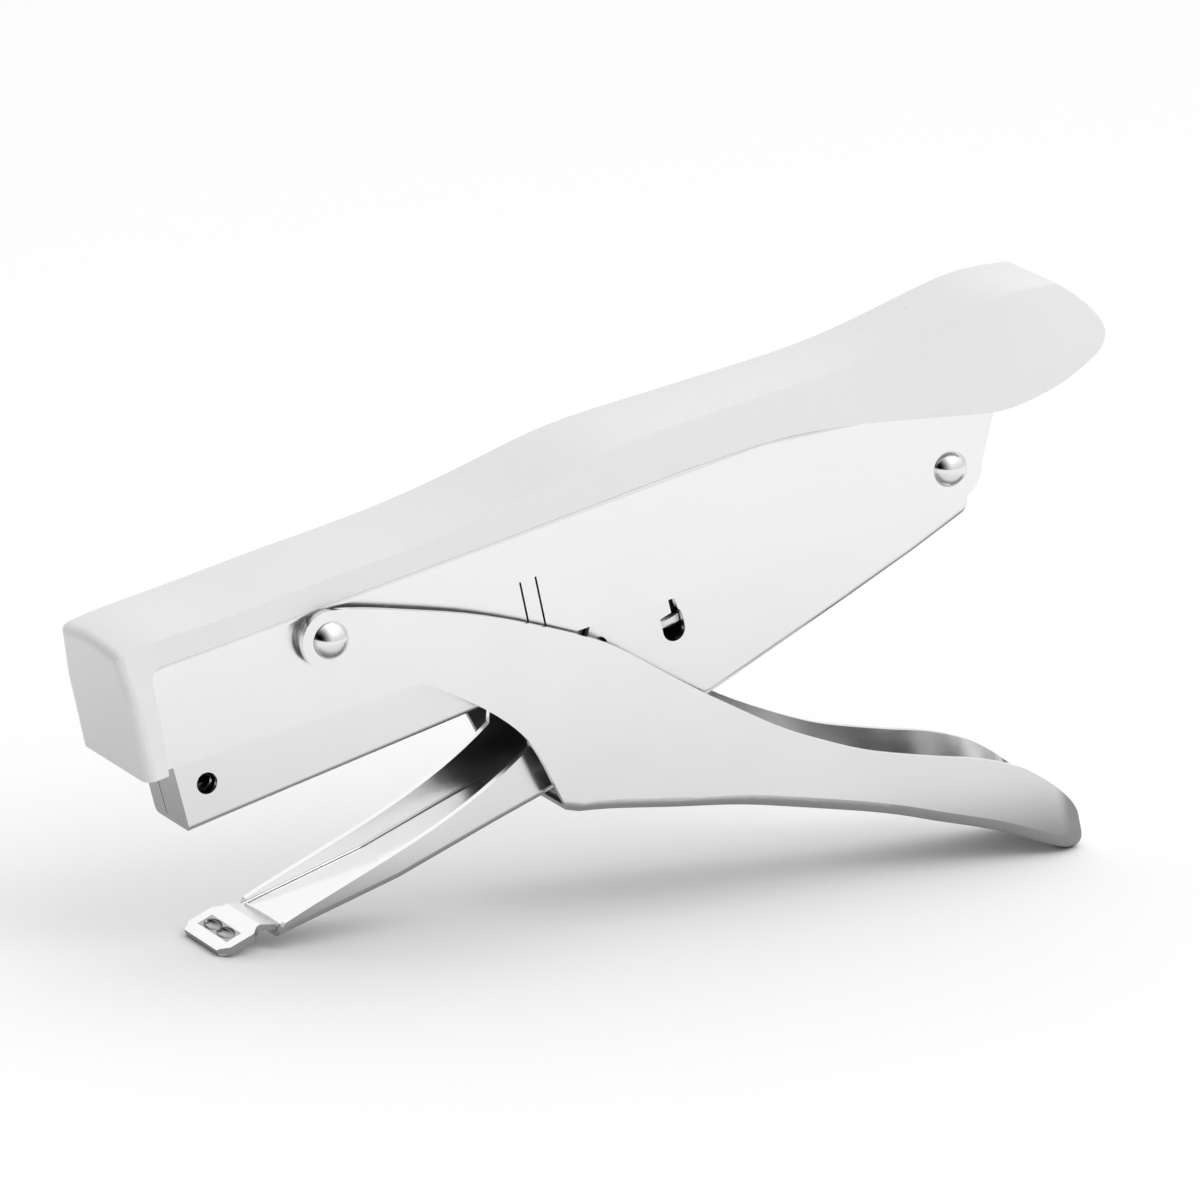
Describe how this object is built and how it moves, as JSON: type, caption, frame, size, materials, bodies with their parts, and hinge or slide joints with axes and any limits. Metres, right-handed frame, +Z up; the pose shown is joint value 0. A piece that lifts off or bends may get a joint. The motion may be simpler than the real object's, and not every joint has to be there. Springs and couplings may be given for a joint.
{
  "type": "plier stapler",
  "caption": "Hand-held plier stapler: pressed-steel frame, cover and squeeze lever with an anvil arm that swings up to a sprung staple magazine.",
  "frame": {"origin": "centre of the bounding box in plan, at the height of the surface it stands on", "axes": "+X from the flat nose to the handle tail, +Y across the stapler, +Z up"},
  "size_m": [0.1594, 0.0278, 0.0871],
  "materials": {
    "plated_steel": "bright nickel plate",
    "white_cover": "gloss white",
    "hardened_steel": "ground",
    "rivet_steel": "polished",
    "spring_steel": "drawn wire"
  },
  "bodies": {
    "frame": {"frame_channel": "plated_steel", "top_cover": "white_cover", "driver_blade": "hardened_steel", "driver_rivets": "rivet_steel", "front_rivet": "rivet_steel", "rear_rivet": "rivet_steel", "front_spacers": "rivet_steel", "rear_spacers": "rivet_steel", "pivot_tube": "rivet_steel", "magazine_spring": "spring_steel", "leaf_rivet": "rivet_steel"},
    "magazine": {"magazine_channel": "plated_steel", "staple_rail": "plated_steel", "guide_rod": "rivet_steel", "rod_anchor": "plated_steel", "stop_pin": "rivet_steel", "pusher_spring": "spring_steel"},
    "pusher": {"pusher": "plated_steel"},
    "arm": {"anvil_arm": "plated_steel", "clinch_insert": "hardened_steel", "return_springs": "spring_steel"},
    "lever": {"squeeze_lever": "plated_steel", "press_saddle": "hardened_steel"}
  },
  "joints": [
    {"name": "lever_squeeze", "type": "hinge", "parent": "frame", "child": "lever", "pos_m": [-0.04756, 0, 0.04666], "axis": [0, -1, 0], "range_deg": [0, 17.5], "stiffness_Nm_per_rad": 0.5, "springref_deg": -45.84},
    {"name": "arm_swing", "type": "hinge", "parent": "frame", "child": "arm", "pos_m": [0.0525, 0, 0.06107], "axis": [0, 1, 0], "range_deg": [0, 11], "deforming": ["return_springs"]},
    {"name": "magazine_lift", "type": "hinge", "parent": "frame", "child": "magazine", "pos_m": [0.0525, 0, 0.06107], "axis": [0, 1, 0], "range_deg": [0, 2.9], "deforming": ["magazine_spring"]},
    {"name": "pusher_slide", "type": "slide", "parent": "magazine", "child": "pusher", "axis": [0.9612, 0, 0.2759], "range_m": [0, 0.06], "stiffness_N_per_m": 60, "springref_m": -0.03, "deforming": ["pusher_spring"]}
  ],
  "couplings": [
    {"joint": "arm_swing", "follows": "lever_squeeze", "ratio": 0.6285},
    {"joint": "magazine_lift", "follows": "lever_squeeze", "ratio": 0.1657}
  ]
}
